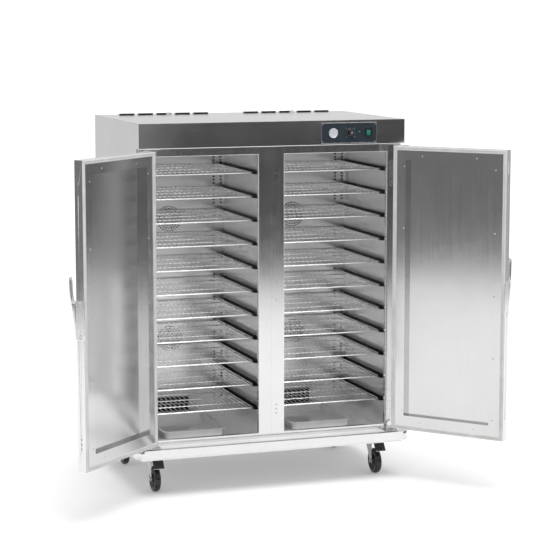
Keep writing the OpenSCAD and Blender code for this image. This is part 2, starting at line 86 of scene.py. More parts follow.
class Shader:
    """A material with one Principled shader and short calls to add nodes to it."""

    def __init__(self, name, **sockets):
        self.material = bpy.data.materials.new(name)
        self.material.use_nodes = True
        self.nodes = self.material.node_tree.nodes
        self.links = self.material.node_tree.links
        self.main = self.nodes["Principled BSDF"]
        for socket, value in sockets.items():
            self.main.inputs[socket.replace("_", " ")].default_value = value

    def link(self, source, target):
        self.links.new(source, target)

    def coords(self, scale=(1, 1, 1)):
        place = self.nodes.new("ShaderNodeMapping")
        place.inputs["Scale"].default_value = scale
        self.link(self.nodes.new("ShaderNodeTexCoord").outputs["Object"], place.inputs["Vector"])
        return place.outputs["Vector"]

    def noise(self, scale, detail=3.0, stretch=(1, 1, 1), roughness=0.55):
        node = self.nodes.new("ShaderNodeTexNoise")
        node.inputs["Scale"].default_value = scale
        node.inputs["Detail"].default_value = detail
        node.inputs["Roughness"].default_value = roughness
        self.link(self.coords(stretch), node.inputs["Vector"])
        return node.outputs["Fac"]

    def ramp(self, source, *stops):
        """Stops are (position, value or colour)."""
        node = self.nodes.new("ShaderNodeValToRGB")
        points = node.color_ramp.elements
        while len(points) < len(stops):
            points.new(0.5)
        for point, (position, value) in zip(points, stops):
            point.position = position
            rgb = value if hasattr(value, "__len__") else (value,) * 3
            point.color = (*rgb, 1.0)
        self.link(source, node.inputs["Fac"])
        return node.outputs["Color"]

    def mix(self, a, b, factor=0.5, kind="MULTIPLY"):
        node = self.nodes.new("ShaderNodeMix")
        node.data_type = "RGBA"
        node.blend_type = kind
        node.inputs["Factor"].default_value = factor
        self.link(a, node.inputs["A"])
        self.link(b, node.inputs["B"])
        return node.outputs["Result"]

    def bump(self, *layers):
        """Layers are (height source, strength, distance in metres)."""
        normal = None
        for source, strength, distance in layers:
            node = self.nodes.new("ShaderNodeBump")
            node.inputs["Strength"].default_value = strength
            node.inputs["Distance"].default_value = distance
            self.link(source, node.inputs["Height"])
            if normal:
                self.link(normal, node.inputs["Normal"])
            normal = node.outputs["Normal"]
        self.link(normal, self.main.inputs["Normal"])

    def set(self, **sources):
        for socket, source in sources.items():
            self.link(source, self.main.inputs[socket.replace("_", " ")])
        return self


def steel(name, grain, tone, shine, wave=0.08, metal=1.0):
    """Stainless sheet. grain is the axis of its brushing, tone the range of its grey,
    shine the range of its roughness, wave how much the sheet ripples, and metal how
    much of its light is mirrored rather than scattered."""
    s = Shader(name, Metallic=metal)
    along = {"x": (2, 900, 900), "y": (900, 2, 900), "z": (900, 900, 2)}[grain]
    fine = s.noise(1.0, 2.0, along)
    handled = s.noise(3.2, 4.0)
    smears = s.noise(11.0, 5.0, roughness=0.7)
    s.set(Base_Color=s.mix(s.ramp(fine, (0.3, tone[0]), (0.7, tone[1])),
                           s.ramp(handled, (0.35, 0.95), (0.65, 1.0)), 1.0))
    s.set(Roughness=s.mix(s.mix(s.ramp(fine, (0.3, shine[0]), (0.7, shine[1])),
                                s.ramp(smears, (0.42, 0.88), (0.66, 1.0)), 1.0),
                          s.ramp(handled, (0.3, 0.92), (0.7, 1.0)), 1.0))
    ripple = s.noise(2.3, 1.0)
    s.bump((ripple, wave, 0.004), (smears, 0.02, 0.0002))
    return s.material


def polished(name, tone, shine):
    """Chrome plate or polished casting with faint orange peel and small scuffs."""
    s = Shader(name, Metallic=1.0)
    peel = s.noise(420.0, 2.0)
    scuffs = s.noise(90.0, 5.0, (1, 1, 4), 0.7)
    s.set(Base_Color=s.ramp(scuffs, (0.35, tone[0]), (0.6, tone[1])))
    s.set(Roughness=s.ramp(scuffs, (0.4, shine[1]), (0.62, shine[0])))
    s.bump((peel, 0.06, 0.0002), (scuffs, 0.08, 0.00008))
    return s.material


def plastic(name, dark, light, shine, grit=600.0, relief=0.15, **sockets):
    """Moulded plastic or rubber: dark and light are its colour range."""
    s = Shader(name, **sockets)
    cloud = s.noise(14.0, 4.0)
    grain = s.noise(grit, 2.0)
    s.set(Base_Color=s.ramp(cloud, (0.3, dark), (0.7, light)))
    s.set(Roughness=s.ramp(s.noise(38.0, 5.0), (0.35, shine[0]), (0.65, shine[1])))
    s.bump((grain, relief, 0.0002))
    return s.material


def foam_material():
    s = Shader("rigid_foam", Roughness=0.9)
    cells = s.nodes.new("ShaderNodeTexVoronoi")
    cells.inputs["Scale"].default_value = 500.0
    s.link(s.coords(), cells.inputs["Vector"])
    s.set(Base_Color=s.ramp(s.noise(9.0, 4.0), (0.3, (0.62, 0.5, 0.26)), (0.7, (0.78, 0.66, 0.4))))
    s.bump((cells.outputs["Distance"], 0.5, 0.0006))
    return s.material


def lit_plastic(name, colour, glow):
    s = Shader(name, Emission_Color=(*colour, 1.0), Emission_Strength=glow)
    tint = tuple(0.6 * c for c in colour)
    s.set(Base_Color=s.ramp(s.noise(120.0, 3.0), (0.3, tint), (0.7, colour)))
    s.set(Roughness=s.ramp(s.noise(60.0, 4.0), (0.3, 0.12), (0.7, 0.28)))
    s.bump((s.noise(300.0, 2.0), 0.05, 0.0002))
    return s.material


def make_materials():
    mirror_grey = (0.74, 0.80)
    return {
        "sheet_up": steel("steel_upright_grain", "z", mirror_grey, (0.14, 0.19)),
        "sheet_across": steel("steel_crosswise_grain", "x", mirror_grey, (0.12, 0.16), 0.03),
        "lid": steel("steel_lid", "x", (0.58, 0.64), (0.22, 0.3), 0.08),
        "lining": steel("steel_lining", "z", (0.65, 0.71), (0.13, 0.18), 0.08),
        # cavity: stainless liner whose base tone is raised near white as painted light, for the
        # light that fills the compartments
        "cavity": steel("painted_light_cavity_steel", "z", (0.9, 0.96), (0.18, 0.26), 0.1, 0.66),
        "bright": steel("steel_bright", "x", (0.92, 0.98), (0.2, 0.28), 0.05, 0.45),
        # satin: brushed steel of the chassis, whiter and more scattering than the other sheets as
        # painted light on the band shaded by the housing above
        "satin": steel("painted_light_satin_steel", "x", (0.86, 0.93), (0.34, 0.42), 0.02, 0.35),
        # runner: its near-black base tone is painted shade for the shadowed undersides and hollows
        # of the runners
        "runner": steel("painted_shade_runner_steel", "y", (0.07, 0.12), (0.22, 0.3), 0.05, 0.9),
        "wire": polished("plated_wire", (0.88, 0.97), (0.18, 0.3)),
        "cast": polished("polished_casting", (0.72, 0.88), (0.12, 0.26)),
        "zinc": polished("zinc_plate", (0.4, 0.6), (0.16, 0.3)),
        "screw": polished("screw_steel", (0.5, 0.66), (0.22, 0.36)),
        "seal": plastic("seal_rubber", (0.48, 0.48, 0.47), (0.58, 0.58, 0.57), (0.4, 0.55), 500.0),
        "panel": plastic("panel_enamel", (0.016, 0.03, 0.034), (0.026, 0.03, 0.046),
                         (0.16, 0.26), 900.0, 0.05, Coat_Weight=0.4),
        "black": plastic("black_plastic", (0.004, 0.004, 0.004), (0.011, 0.011, 0.011),
                         (0.2, 0.34), 900.0, 0.1),
        "tread": plastic("tread_rubber", (0.004, 0.004, 0.004), (0.012, 0.012, 0.011),
                         (0.2, 0.36), 700.0, 0.25),
        # void: near-black sheet behind the duct holes, painted shade for the unlit space there
        "void": plastic("unlit_plenum", (0.004, 0.004, 0.004), (0.01, 0.01, 0.01),
                        (0.6, 0.8), 200.0, 0.1),
        "dial": plastic("dial_enamel", (0.5, 0.53, 0.6), (0.6, 0.63, 0.7), (0.15, 0.25)),
        "ink": plastic("printed_ink", (0.2, 0.22, 0.25), (0.3, 0.32, 0.36), (0.4, 0.55)),
        "dark_ink": plastic("dark_ink", (0.12, 0.13, 0.16), (0.2, 0.21, 0.25), (0.4, 0.55)),
        "needle": plastic("needle_red", (0.4, 0.02, 0.02), (0.55, 0.04, 0.03), (0.3, 0.4)),
        "lamp": lit_plastic("lamp_lens", (0.01, 0.12, 0.07), 0.25),
        "rocker": lit_plastic("rocker_lens", (0.008, 0.16, 0.1), 0.3),
        "foam": foam_material(),
    }


# ---------------------------------------------------------------- mesh building

def piece(name, bm, material, body, transform=None, smooth=False):
    """Turns a bmesh into an object that rides on a CAD body."""
    if transform is not None:
        bm.transform(transform)
        if transform.determinant() < 0:
            bmesh.ops.reverse_faces(bm, faces=bm.faces)
    mesh = bpy.data.meshes.new(name)
    bm.to_mesh(mesh)
    bm.free()
    for polygon in mesh.polygons:
        polygon.use_smooth = smooth and polygon.loop_total <= 4
    obj = bpy.data.objects.new(name, mesh)
    bpy.context.scene.collection.objects.link(obj)
    mesh.materials.append(M[material])
    if smooth:
        split = obj.modifiers.new("split", "EDGE_SPLIT")
        split.split_angle = math.radians(38)
    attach(obj, body)
    return obj


def soften(obj, width, segments=2):
    """Rounds the sharp edges of a mesh without changing the mesh itself."""
    weld = obj.modifiers.new("weld", "WELD")
    weld.merge_threshold = 1e-5
    bevel = obj.modifiers.new("bevel", "BEVEL")
    bevel.width = width
    bevel.segments = segments
    bevel.limit_method = "ANGLE"
    bevel.angle_limit = math.radians(35)
    bevel.harden_normals = True


def ring_join(bm, a, b):
    n = len(a)
    for k in range(n):
        bm.faces.new((a[k], a[(k + 1) % n], b[(k + 1) % n], b[k]))


def lathe(bm, profile, axis_point, axis, sides=32):
    """Turns (radius, distance along the axis) points about an axis; closed where radius is 0."""
    axis = Vector(axis).normalized()
    turn = axis.to_track_quat("Z", "Y").to_matrix().to_4x4()
    place = Matrix.Translation(Vector(axis_point)) @ turn
    last = None
    for radius, h in profile:
        if radius <= 0:
            ring = [bm.verts.new(place @ Vector((0, 0, h)))]
        else:
            ring = [bm.verts.new(place @ Vector((radius * math.cos(a), radius * math.sin(a), h)))
                    for a in (2 * math.pi * k / sides for k in range(sides))]
        if last is not None:
            join_rings(bm, last, ring)
        last = ring


def join_rings(bm, a, b):
    if len(a) == 1 and len(b) == 1:
        return
    n = max(len(a), len(b))
    for k in range(n):
        loop = [a[k % len(a)], a[(k + 1) % len(a)], b[(k + 1) % len(b)], b[k % len(b)]]
        loop = list(dict.fromkeys(loop))
        bm.faces.new(loop)


def rod(bm, start, end, radius, sides=8):
    """A round wire with slightly domed ends."""
    start, end = Vector(start), Vector(end)
    length = (end - start).length
    cap = radius * 0.5
    lathe(bm, [(0, 0), (radius * 0.7, 0), (radius, cap), (radius, length - cap),
               (radius * 0.7, length), (0, length)], start, end - start, sides)


def tube(bm, points, radius, sides=8, closed=False):
    """Round wire along a path of points."""
    points = [Vector(p) for p in points]
    n = len(points)
    rings = []
    for k, point in enumerate(points):
        before = points[k - 1] if k or closed else point
        after = points[(k + 1) % n] if k < n - 1 or closed else point
        heading = (after - before).normalized()
        side = heading.cross(Vector((0, 0, 1)))
        side = side.normalized() if side.length > 1e-4 else Vector((1, 0, 0))
        up = side.cross(heading)
        rings.append([bm.verts.new(point + radius * (math.cos(a) * side + math.sin(a) * up))
                      for a in (2 * math.pi * j / sides for j in range(sides))])
    for a, b in zip(rings, rings[1:]):
        ring_join(bm, a, b)
    if closed:
        ring_join(bm, rings[-1], rings[0])
    else:
        bm.faces.new(reversed(rings[0]))
        bm.faces.new(rings[-1])


def box(bm, low, high):
    low, high = Vector(low), Vector(high)
    v = [bm.verts.new((x, y, z)) for z in (low.z, high.z) for x, y in
         ((low.x, low.y), (high.x, low.y), (high.x, high.y), (low.x, high.y))]
    for f in ((0, 3, 2, 1), (4, 5, 6, 7), (0, 1, 5, 4), (1, 2, 6, 5), (2, 3, 7, 6), (3, 0, 4, 7)):
        bm.faces.new([v[i] for i in f])


def round_rect(w, h, r, steps=5):
    """Points round a rectangle with round corners, centred on 0."""
    points = []
    for cx, cy, start in ((1, 1, 0), (-1, 1, 90), (-1, -1, 180), (1, -1, 270)):
        for k in range(steps + 1):
            a = math.radians(start + 90 * k / steps)
            points.append((cx * (w / 2 - r) + r * math.cos(a), cy * (h / 2 - r) + r * math.sin(a)))
    return points


def stack(bm, layers):
    """Joins rings of equal length, given as lists of points, and closes both ends."""
    rings = [[bm.verts.new(p) for p in layer] for layer in layers]
    for a, b in zip(rings, rings[1:]):
        ring_join(bm, a, b)
    bm.faces.new(reversed(rings[0]))
    bm.faces.new(rings[-1])


def screw(bm, point, outward, radius):
    """Pan head with a sunk cross, seated on a thin washer."""
    r, h = radius, radius * 0.5
    outward = Vector(outward).normalized()
    turn = outward.to_track_quat("Z", "Y").to_matrix().to_4x4()
    place = Matrix.Translation(Vector(point)) @ turn
    sides = 24

    def circle(radius, height):
        return [place @ Vector((radius * math.cos(a), radius * math.sin(a), height))
                for a in (2 * math.pi * k / sides for k in range(sides))]

    def cross(reach, waist, height):
        ring = []
        for k in range(sides):
            a = 2 * math.pi * k / sides
            near_arm = abs(((math.degrees(a) + 45) % 90) - 45) < 20
            size = reach if near_arm else waist
            ring.append(place @ Vector((size * math.cos(a), size * math.sin(a), height)))
        return ring

    rings = [circle(r * 1.25, -0.0004), circle(r * 1.25, 0.0003), circle(r, 0.0003),
             circle(r * 0.97, h * 0.45), circle(r * 0.8, h * 0.85), cross(r * 0.55, r * 0.2, h),
             cross(r * 0.5, r * 0.16, h * 0.45)]
    verts = [[bm.verts.new(p) for p in ring] for ring in rings]
    for a, b in zip(verts, verts[1:]):
        ring_join(bm, a, b)
    bm.faces.new(verts[-1])


# ---------------------------------------------------------------- placing on the doors

def door_place(side):
    """Matrix from the (s, d, z) of a closed leaf to the row frame at rest."""
    joint = joints["door_%s_hinge" % side]
    pivot = Vector(joint["pos_m"])
    pivot.z = 0.0
    turn = Matrix.Rotation(-math.radians(joint["range_deg"][0]), 4, Vector(joint["axis"]))
    flip = Matrix.Scale(-1, 4, (1, 0, 0)) if side == "right" else Matrix.Identity(4)
    return Matrix.Translation(pivot) @ turn @ flip


def door_extent(side, node):
    """Box of a door node in (s, d, z)."""
    inverse = door_place(side).inverted()
    points = [inverse @ v.co for v in frame["nodes"][node].data.vertices]
    low = Vector([min(p[i] for p in points) for i in range(3)])
    high = Vector([max(p[i] for p in points) for i in range(3)])
    return low, high


# ---------------------------------------------------------------- pieces

def add_shelf(side, number):
    """Plated wire shelf: round rim, three cross bars under it and the thin wires on top."""
    node = "shelf_%s_%d" % (side, number)
    low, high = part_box(node)
    rim, bar, thin = 3.0 * MM, 2.5 * MM, 1.5 * MM
    corner = 12 * MM
    z_rim = low.z + rim
    z_thin = high.z - thin
    middle = (low + high) / 2
    w, d = high.x - low.x - 2 * rim, high.y - low.y - 2 * rim
    bm = bmesh.new()
    outline = [(middle.x + x, middle.y + y, z_rim) for x, y in round_rect(w, d, corner, 4)]
    tube(bm, outline, rim, 10, closed=True)
    for k in (1, 2, 3):
        y = low.y + k * (high.y - low.y) / 4
        rod(bm, (low.x + rim, y, z_rim - 0.5 * MM), (high.x - rim, y, z_rim - 0.5 * MM), bar)
    wires = 21
    step = (high.x - low.x - 2 * rim) / (wires + 1)
    for k in range(1, wires + 1):
        x = low.x + rim + k * step
        rod(bm, (x, low.y + 1 * MM, z_thin), (x, high.y - 1 * MM, z_thin), thin, 6)
    obj = piece("wires_" + node, bm, "wire", node, smooth=True)
    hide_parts(node)


def add_gasket(side):
    """Push-in door seal with a hollow bead and two lips, mitred at the corners."""
    node = "gasket_" + side
    low, high = door_extent(side, node)
    profile = [(0, 0), (0.2, 3.2), (1.2, 4.9), (3.0, 5.9), (5.4, 6.3), (7.6, 5.8), (9.0, 4.6),
               (9.8, 3.4), (10.8, 4.4), (12.6, 5.4), (15.0, 5.6), (17.0, 4.6), (18.4, 2.8), (19, 0)]
    bm = bmesh.new()
    rings = []
    for inset, height in profile:
        i, d = inset * MM, low.y + height * MM
        rings.append([bm.verts.new((s, d, z)) for s, z in (
            (low.x + i, low.z + i), (high.x - i, low.z + i),
            (high.x - i, high.z - i), (low.x + i, high.z - i))])
    for a, b in zip(rings, rings[1:] + rings[:1]):
        ring_join(bm, a, b)
    bmesh.ops.recalc_face_normals(bm, faces=bm.faces)
    place = door_place(side)
    obj = piece("seal_" + side, bm, "seal", "door_" + side, place, True)
    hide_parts(node)


def add_door_screws(side):
    """Pan-head screws round the rim of a door's inner lining."""
    low, high = door_extent(side, "door_liner_" + side)
    bm = bmesh.new()
    face = high.y
    pitch = 300 * MM
    middle = (low.z + high.z) / 2
    for k in (-2, -1, 0, 1, 2):
        screw(bm, (high.x - 56 * MM, face, middle + k * pitch), (0, 1, 0), 3.2 * MM)
        screw(bm, (low.x + 58 * MM, face, middle + k * pitch), (0, 1, 0), 3.2 * MM)
    for z in (low.z + 42 * MM, high.z - 44 * MM):
        for s in (low.x + 0.26 * (high.x - low.x), low.x + 0.74 * (high.x - low.x)):
            screw(bm, (s, face, z), (0, 1, 0), 3.2 * MM)
    piece("door_screws_" + side, bm, "screw", "door_" + side, door_place(side))


def add_latch(side):
    """Cast latch: a plate round the free edge with a tapered housing that holds the lever."""
    low, high = door_extent(side, "latch_" + side)
    edge = high.x - 4 * MM           # outer face of the plate on the free edge
    inner = high.y                   # face of its return on the inner rim
    z0, z1 = low.z, high.z
    bm = bmesh.new()
    latch_plate(bm, edge, inner, z0, z1)
    latch_housing(bm, edge, z0, z1)
    bmesh.ops.recalc_face_normals(bm, faces=bm.faces)
    place = door_place(side)
    body = piece("cast_latch_" + side, bm, "cast", "door_" + side, place, True)
    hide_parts("latch_" + side)
    bm = bmesh.new()
    for z in (z0 + 9 * MM, z0 + 24 * MM, z1 - 26 * MM, z1 - 11 * MM):
        screw(bm, (edge, 20 * MM, z), (1, 0, 0), 4.4 * MM)
    for z in (z0 + 22 * MM, z0 + 34 * MM):
        screw(bm, (edge - 8 * MM, inner, z), (0, 1, 0), 3 * MM)
    piece("latch_screws_" + side, bm, "screw", "door_" + side, place)


def latch_plate(bm, edge, inner, z0, z1):
    """Plate on the free edge of the door, and its return on the inner rim."""
    outer = -7 * MM
    centre_d, centre_z = (inner + outer) / 2, (z0 + z1) / 2
    plate = round_rect(inner - outer, z1 - z0, 7 * MM)
    stack(bm, [[(s, centre_d + d * f, centre_z + z * (1 - (1 - f) * 0.3)) for d, z in plate]
               for s, f in ((edge - 3 * MM, 1.0), (edge - 1.2 * MM, 1.0), (edge, 0.94))])
    lip = round_rect(15 * MM, 150 * MM, 5 * MM)
    stack(bm, [[(edge - 8 * MM + s * f, d, centre_z + z * f) for s, z in lip][::-1]
               for d, f in ((inner - 3 * MM, 1.0), (inner - 1 * MM, 1.0), (inner, 0.93))])


def latch_housing(bm, edge, z0, z1):
    """Housing on the door's outer face, in sections from its foot up to the lever."""
    middle_s = edge - 17 * MM
    root = 4                         # mm that it reaches in behind the door's face
    sections = []
    for t, depth, half in ((0.0, 1, 12), (0.06, 4, 15), (0.2, 10, 16.5), (0.45, 17, 17),
                           (0.7, 23, 17), (0.9, 28, 17), (0.97, 29, 16.5), (1.0, 27, 14)):
        z = z0 + 4 * MM + t * (z1 - z0 - 8 * MM)
        thick = (depth + root) * MM
        outline = round_rect(2 * half * MM, thick, min(6, depth / 2 + 1.5) * MM)
        sections.append([(middle_s + s, root * MM - thick / 2 + d, z) for s, d in outline])
    stack(bm, sections)


def add_lever(side):
    """Swan-neck lever: a hub on its cross pin and a tapering arm that leans outward."""
    low, high = door_extent(side, "lever_" + side)
    place = door_place(side)
    pivot = place.inverted() @ Vector(joints["lever_%s_swing" % side]["pos_m"])
    middle_s = high.x - 11 * MM
    spine = [(-5, -2, 14, 14), (2, -5, 20, 16), (10, -9, 20, 16), (20, -12, 17.5, 16),
             (34, -14, 17, 16), (55, -16, 16.5, 16), (80, -16.6, 16, 16), (98, -17.4, 14, 16),
             (107, -18, 13, 15.5), (113, -19, 10, 14), (117, -19.6, 4, 11)]
    bm = bmesh.new()
    layers = []
    for up, out, thick, wide in spine:
        outline = round_rect(wide * MM, thick * MM, thick * MM * 0.4)
        layers.append([(middle_s + s, pivot.y + out * MM + d, pivot.z + up * MM)
                       for s, d in outline])
    stack(bm, layers)
    lathe(bm, [(0, -8.5 * MM), (6.5 * MM, -8.5 * MM), (8 * MM, -7 * MM), (8 * MM, 7 * MM),
               (6.5 * MM, 8.5 * MM), (0, 8.5 * MM)], (middle_s, pivot.y, pivot.z), (1, 0, 0), 28)
    rod(bm, (low.x, pivot.y, pivot.z), (high.x, pivot.y, pivot.z), 3 * MM, 20)
    bmesh.ops.recalc_face_normals(bm, faces=bm.faces)
    obj = piece("cast_lever_" + side, bm, "cast", "lever_" + side, place, True)
    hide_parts("lever_" + side)


def add_wheel(place_name):
    """Caster wheel: moulded core with ribs, bearing caps and a rounded tread."""
    node = "wheel_" + place_name
    low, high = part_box(node)
    centre = (low + high) / 2
    r, w = (high.z - low.z) / 2, (high.x - low.x) / 2
    half = [(9, -1.0), (15.5, -1.0), (17, -0.86), (18.5, -0.62), (30, -0.5), (41, -0.56),
            (44.5, -0.72), (46, -0.9), (48.5, -0.96), (54, -0.97), (58.4, -0.86), (61.2, -0.62),
            (62.5, -0.3), (62.5, 0.0)]
    scale = r / 62.5
    profile = [(a * scale, b * w) for a, b in half]
    profile += [(a * scale, -b * w) for a, b in reversed(half[:-1])]
    bm = bmesh.new()
    lathe(bm, profile + profile[:1], centre, (1, 0, 0), 72)
    bmesh.ops.remove_doubles(bm, verts=bm.verts, dist=1e-6)
    for k in range(6):
        a = math.radians(60 * k)
        spoke = Matrix.Translation(centre) @ Matrix.Rotation(a, 4, "X")
        for hand in (-1, 1):
            face = sorted((hand * w * 0.45, hand * w * 0.74))
            part = bmesh.new()
            box(part, (face[0], -1.8 * MM, 17 * MM), (face[1], 1.8 * MM, 44 * MM))
            part.transform(spoke)
            add_mesh(bm, part)
    obj = piece("tyre_" + place_name, bm, "tread", node, smooth=True)
    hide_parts(node)


def add_mesh(bm, part):
    mesh = bpy.data.meshes.new("part")
    part.to_mesh(mesh)
    part.free()
    bm.from_mesh(mesh)
    bpy.data.meshes.remove(mesh)


def add_pedal(side):
    """Foot brake: a black ribbed pad, a bright lip along its lower edge and steel side arms."""
    node = "pedal_" + side
    low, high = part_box(node)
    middle = (low.x + high.x) / 2
    reach = 37 * MM                  # depth of the pad from its tip to its top
    half = 26 * MM
    foot = Vector((middle, low.y + 4 * MM, low.z + 4 * MM))
    slope = Vector((0, reach, high.z - 5 * MM - low.z)).normalized()
    pad = piece("pad_" + side, pedal_pad(foot, slope, half), "black", node,
                smooth=True)
    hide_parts(node)
    pin = Vector(joints["pedal_%s_press" % side]["pos_m"])
    bm = bmesh.new()
    rod(bm, foot + Vector((-half, 0, 0)), foot + Vector((half, 0, 0)), 2 * MM, 10)
    for hand in (-1, 1):
        x = middle + hand * (FORK_LEG + 2.2 * MM)
        pedal_arm(bm, Vector((x, pin.y, pin.z)),
                  Vector((x, low.y + reach - 2 * MM, high.z - 6 * MM)))
    bmesh.ops.recalc_face_normals(bm, faces=bm.faces)
    piece("pedal_arms_" + side, bm, "zinc", node)


def pedal_pad(foot, slope, half):
    """Sloping pad with six ribs, from its foot up along the slope."""
    across = slope.cross(Vector((1, 0, 0))).normalized()
    length = 54 * MM
    outline = round_rect(2 * half, length, 4 * MM, 3)
    bm = bmesh.new()
    stack(bm, [[foot + slope * (length / 2 + v) + Vector((u * f, 0, 0)) + across * h
                for u, v in outline]
               for h, f in ((-2.5 * MM, 1.0), (0.5 * MM, 1.0), (1.5 * MM, 0.96))])
    for k in range(6):
        a = foot + slope * (8 + 7.5 * k) * MM + across * 1.6 * MM
        rod(bm, a + Vector((-20 * MM, 0, 0)), a + Vector((20 * MM, 0, 0)), 1.1 * MM, 6)
    bmesh.ops.recalc_face_normals(bm, faces=bm.faces)
    return bm


def pedal_arm(bm, start, end):
    """Flat steel arm that narrows from the pin to the pad."""
    wide = (end - start).normalized().cross(Vector((1, 0, 0)))
    thick = Vector((1.4 * MM, 0, 0))
    layers = []
    for t, width in ((-0.06, 4), (0.0, 6.5), (0.3, 5.5), (0.75, 4.5), (1.0, 4)):
        c = start + (end - start) * t
        w = wide * width * MM
        layers.append([c + w + thick, c - w + thick, c - w - thick, c + w - thick])
    stack(bm, layers)


def add_knob():
    """Thermostat knob: a fluted grip on a skirt, with a white pointer line."""
    node = "thermostat_knob"
    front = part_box(node)[0].y
    centre = Vector(joints["thermostat_turn"]["pos_m"])
    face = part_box("control_panel")[0].y + PANEL_STEP
    depth = face - front - 3 * MM
    sides, flutes = 60, 20
    bm = bmesh.new()
    layers = []
    for t, radius, flute in ((0.0, 18.6, 0), (0.12, 18.8, 0), (0.2, 17.6, 0), (0.26, 15.4, 0.5),
                             (0.8, 14.2, 0.7), (0.92, 13.4, 0.5), (0.98, 11.5, 0.2), (1.0, 8, 0)):
        ring = []
        for k in range(sides):
            a = 2 * math.pi * k / sides
            r = (radius - flute * (1 + math.cos(a * flutes)) / 2) * MM
            ring.append((centre.x + r * math.cos(a), face - 0.4 * MM - t * depth,
                         centre.z + r * math.sin(a)))
        layers.append(ring)
    stack(bm, layers)
    bmesh.ops.recalc_face_normals(bm, faces=bm.faces)
    obj = piece("knob_grip", bm, "black", node, smooth=True)
    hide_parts(node)
    bm = bmesh.new()
    box(bm, (centre.x - 1.1 * MM, front + 1.4 * MM, centre.z + 1 * MM),
        (centre.x + 1.1 * MM, front + 3.2 * MM, centre.z + 10.5 * MM))
    lathe(bm, [(4 * MM, 0), (4.6 * MM, 1.5 * MM), (3.4 * MM, 2.4 * MM), (0, 2.6 * MM)],
          (centre.x, front + 3.0 * MM, centre.z), (0, -1, 0), 24)
    piece("knob_pointer", bm, "ink", node)


def digits(name, text, point, height, material, body):
    """A number on a scale, facing the front."""
    curve = bpy.data.curves.new(name, "FONT")
    curve.body = text
    curve.size = height
    curve.extrude = 0.05 * MM
    curve.align_x = "CENTER"
    curve.align_y = "CENTER"
    maker = bpy.data.objects.new(name + "_curve", curve)
    bpy.context.scene.collection.objects.link(maker)
    bpy.context.view_layer.update()
    mesh = bpy.data.meshes.new_from_object(maker)
    bpy.data.objects.remove(maker)
    bm = bmesh.new()
    bm.from_mesh(mesh)
    bpy.data.meshes.remove(mesh)
    turn = Matrix.Translation(Vector(point)) @ Matrix.Rotation(math.radians(90), 4, "X")
    piece(name, bm, material, body, turn)


def on_dial(centre, depth, radius, degrees):
    """Point round a centre on the front, at a depth, a radius and an angle."""
    a = math.radians(degrees)
    return Vector((centre.x + radius * math.cos(a), depth, centre.z + radius * math.sin(a)))


def add_scale():
    """Dots and numbers printed round the knob."""
    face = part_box("control_panel")[0].y + PANEL_STEP
    knob = Vector(joints["thermostat_turn"]["pos_m"])
    bm = bmesh.new()
    for k in range(11):
        for r in (22.0, 24.0):
            point = on_dial(knob, face - 0.1 * MM, r * MM, 225 - 27 * k)
            lathe(bm, [(0.9 * MM, 0), (0.9 * MM, 0.3 * MM), (0, 0.3 * MM)], point, (0, -1, 0), 8)
    piece("knob_scale", bm, "ink", "cabinet")
    for k, text in enumerate(("0", "30", "60", "90")):
        point = on_dial(knob, face - 0.2 * MM, 30 * MM, 225 - 90 * k)
        digits("knob_number_%d" % k, text, point, 7 * MM, "ink", "cabinet")


def add_thermometer():
    """Dial thermometer: bezel, ticks, numbers and needle over the CAD dial."""
    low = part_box("gauge_and_lamp")[0]
    knob_low, knob_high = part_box("thermostat_knob")
    centre = Vector((low.x + DIAL_RADIUS, low.y, (knob_low.z + knob_high.z) / 2))
    bm = bmesh.new()
    lathe(bm, [(20.6 * MM, -2 * MM), (20.6 * MM, 0.2 * MM), (21.6 * MM, 0.8 * MM),
               (22.8 * MM, 0.3 * MM), (23.2 * MM, -1.5 * MM), (23.2 * MM, -4 * MM)],
          centre, (0, -1, 0), 64)
    piece("gauge_bezel", bm, "cast", "cabinet", smooth=True)
    face = centre.y + 2 * MM
    bm = bmesh.new()
    for k in range(31):
        inner, wide = (16.2, 0.45) if k % 5 == 0 else (17.8, 0.25)
        start = on_dial(centre, face - 0.1 * MM, inner * MM, 225 - 9 * k)
        end = on_dial(centre, face - 0.1 * MM, 19.3 * MM, 225 - 9 * k)
        rod(bm, start, end, wide * MM, 4)
    piece("gauge_ticks", bm, "dark_ink", "cabinet")
    for k in range(7):
        point = on_dial(centre, face - 0.2 * MM, 12.6 * MM, 225 - 45 * k)
        digits("gauge_number_%d" % k, str(20 * k), point, 4.2 * MM, "dark_ink", "cabinet")
    reading = 160
    tip = on_dial(centre, centre.y + 1.2 * MM, 15 * MM, reading)
    tail = on_dial(centre, centre.y + 1.2 * MM, -5 * MM, reading)
    bm = bmesh.new()
    rod(bm, tail, tip, 0.45 * MM, 6)
    lathe(bm, [(2.2 * MM, 0), (2.2 * MM, 1 * MM), (1.6 * MM, 1.4 * MM), (0, 1.4 * MM)],
          centre + Vector((0, 1.8 * MM, 0)), (0, -1, 0), 20)
    piece("gauge_needle", bm, "needle", "cabinet")


def add_lamp():
    """Small domed pilot lamp in a dark ring beside the knob."""
    centre = Vector((LAMP_X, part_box("control_panel")[0].y, LAMP_Z))
    bm = bmesh.new()
    lathe(bm, [(6.2 * MM, 0), (6.2 * MM, 2.2 * MM), (5.4 * MM, 3.2 * MM), (4.4 * MM, 3.0 * MM)],
          centre, (0, -1, 0), 32)
    piece("lamp_ring", bm, "black", "cabinet", smooth=True)
    bm = bmesh.new()
    lathe(bm, [(4.4 * MM, 2.4 * MM), (4.0 * MM, 3.4 * MM), (2.6 * MM, 4.3 * MM), (0, 4.7 * MM)],
          centre, (0, -1, 0), 32)
    piece("lamp_lens", bm, "lamp", "cabinet", smooth=True)


